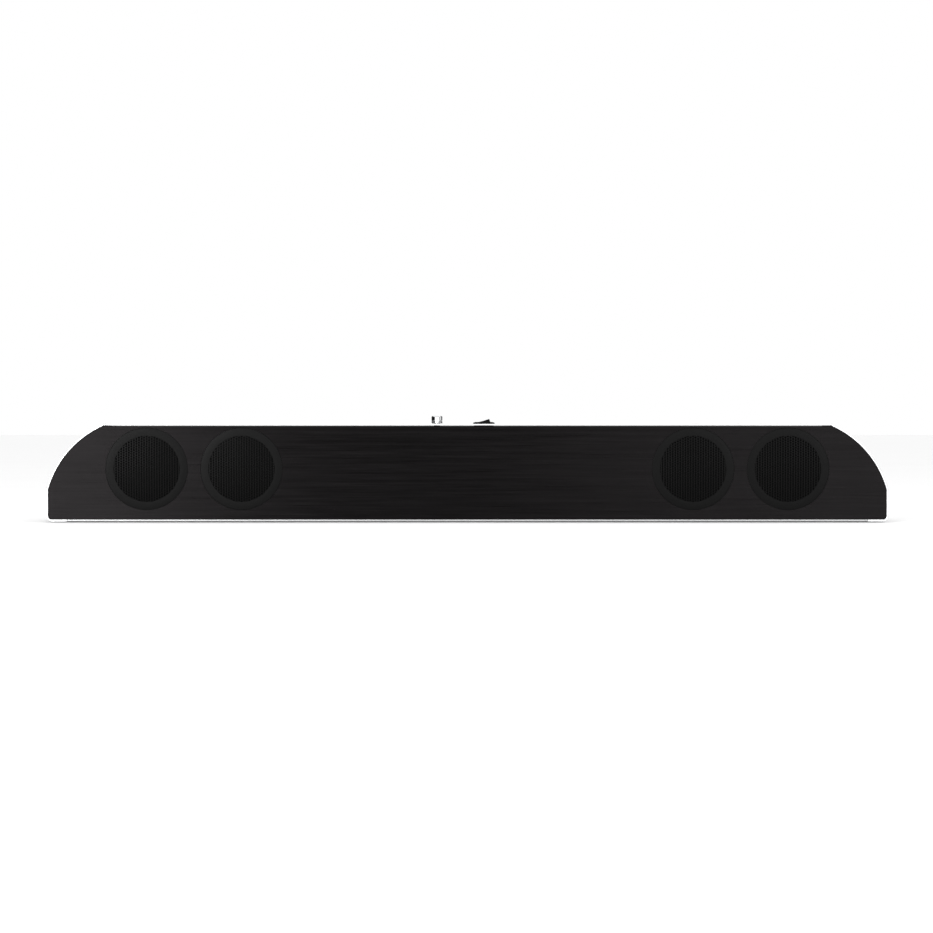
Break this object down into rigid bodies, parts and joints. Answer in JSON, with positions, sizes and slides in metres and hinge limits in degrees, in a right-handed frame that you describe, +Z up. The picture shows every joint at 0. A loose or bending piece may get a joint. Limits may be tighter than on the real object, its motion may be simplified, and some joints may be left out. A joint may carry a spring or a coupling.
{
  "type": "soundbar",
  "caption": "Long soundbar in a slim metal case with rounded shoulders: round speaker grilles in its front plate, a volume knob and a rocker switch on top, sockets behind.",
  "frame": {"origin": "on the surface that the bar stands on, midway along its length and its depth", "axes": "+X to the right along the bar seen from the front, +Y back from the front plate to the rear panel, +Z up"},
  "size_m": [0.81, 0.084, 0.1025],
  "materials": {
    "silver_anodised": "satin anodised, silver",
    "black_anodised": "black anodised, brushed along its length",
    "black_painted_steel": "matt black powder coat",
    "black_plastic": "satin black",
    "chrome_plate": "polished chrome",
    "zinc_steel": "zinc plated",
    "bare_aluminium": "as machined",
    "ferrite": "sintered, between zinc-plated plates",
    "cone_paper": "pressed black paper",
    "black_rubber": "matt moulded",
    "copper": "lacquered winding",
    "fibreboard": "medium-density fibreboard",
    "circuit_board": "green solder mask",
    "cable_jacket": "red vinyl"
  },
  "bodies": {
    "case": {"top_panel": "silver_anodised", "bottom_panel": "silver_anodised", "end_cap_left": "silver_anodised", "end_cap_right": "silver_anodised", "pad_front_left": "black_rubber", "pad_front_right": "black_rubber", "pad_rear_left": "black_rubber", "pad_rear_right": "black_rubber", "front_plate": "black_anodised", "baffle": "fibreboard", "bulkhead_left": "fibreboard", "bulkhead_right": "fibreboard", "grille_left_outer": "black_painted_steel", "basket_left_outer": "black_painted_steel", "magnet_left_outer": "ferrite", "surround_left_outer": "black_rubber", "grille_left_inner": "black_painted_steel", "basket_left_inner": "black_painted_steel", "magnet_left_inner": "ferrite", "surround_left_inner": "black_rubber", "grille_right_inner": "black_painted_steel", "basket_right_inner": "black_painted_steel", "magnet_right_inner": "ferrite", "surround_right_inner": "black_rubber", "grille_right_outer": "black_painted_steel", "basket_right_outer": "black_painted_steel", "magnet_right_outer": "ferrite", "surround_right_outer": "black_rubber", "rear_panel": "black_painted_steel", "connector_cup": "black_plastic", "dc_inlet": "black_plastic", "aux_jack": "zinc_steel", "rca_jack_left": "chrome_plate", "rca_jack_right": "chrome_plate", "wall_hanger_left": "zinc_steel", "wall_hanger_right": "zinc_steel", "rear_screw_1": "zinc_steel", "rear_screw_2": "zinc_steel", "rear_screw_3": "zinc_steel", "rear_screw_4": "zinc_steel", "rear_screw_5": "zinc_steel", "rear_screw_6": "zinc_steel", "control_board": "circuit_board", "switch_body": "black_plastic", "amplifier_board": "circuit_board", "heat_sink": "bare_aluminium", "driver_lead_left": "cable_jacket", "driver_lead_right": "cable_jacket"},
    "volume_control": {"volume_knob": "chrome_plate", "volume_shaft": "bare_aluminium"},
    "power_rocker": {"power_rocker": "black_plastic"},
    "cone_left_outer": {"cone_left_outer": "cone_paper", "voice_coil_left_outer": "copper"},
    "cone_left_inner": {"cone_left_inner": "cone_paper", "voice_coil_left_inner": "copper"},
    "cone_right_inner": {"cone_right_inner": "cone_paper", "voice_coil_right_inner": "copper"},
    "cone_right_outer": {"cone_right_outer": "cone_paper", "voice_coil_right_outer": "copper"}
  },
  "joints": [
    {"name": "volume_turn", "type": "hinge", "parent": "case", "child": "volume_control", "pos_m": [-0.0296, 0, 0.0948], "axis": [0, 0, 1], "range_deg": [-150, 150]},
    {"name": "rocker_press", "type": "hinge", "parent": "case", "child": "power_rocker", "pos_m": [0.0161, 0, 0.0928], "axis": [0, 1, 0], "range_deg": [0, 30]},
    {"name": "cone_stroke_left_outer", "type": "slide", "parent": "case", "child": "cone_left_outer", "axis": [0, 1, 0], "range_m": [-0.002, 0.002], "stiffness_N_per_m": 700, "deforming": ["surround_left_outer"]},
    {"name": "cone_stroke_left_inner", "type": "slide", "parent": "case", "child": "cone_left_inner", "axis": [0, 1, 0], "range_m": [-0.002, 0.002], "stiffness_N_per_m": 700, "deforming": ["surround_left_inner"]},
    {"name": "cone_stroke_right_inner", "type": "slide", "parent": "case", "child": "cone_right_inner", "axis": [0, 1, 0], "range_m": [-0.002, 0.002], "stiffness_N_per_m": 700, "deforming": ["surround_right_inner"]},
    {"name": "cone_stroke_right_outer", "type": "slide", "parent": "case", "child": "cone_right_outer", "axis": [0, 1, 0], "range_m": [-0.002, 0.002], "stiffness_N_per_m": 700, "deforming": ["surround_right_outer"]}
  ]
}
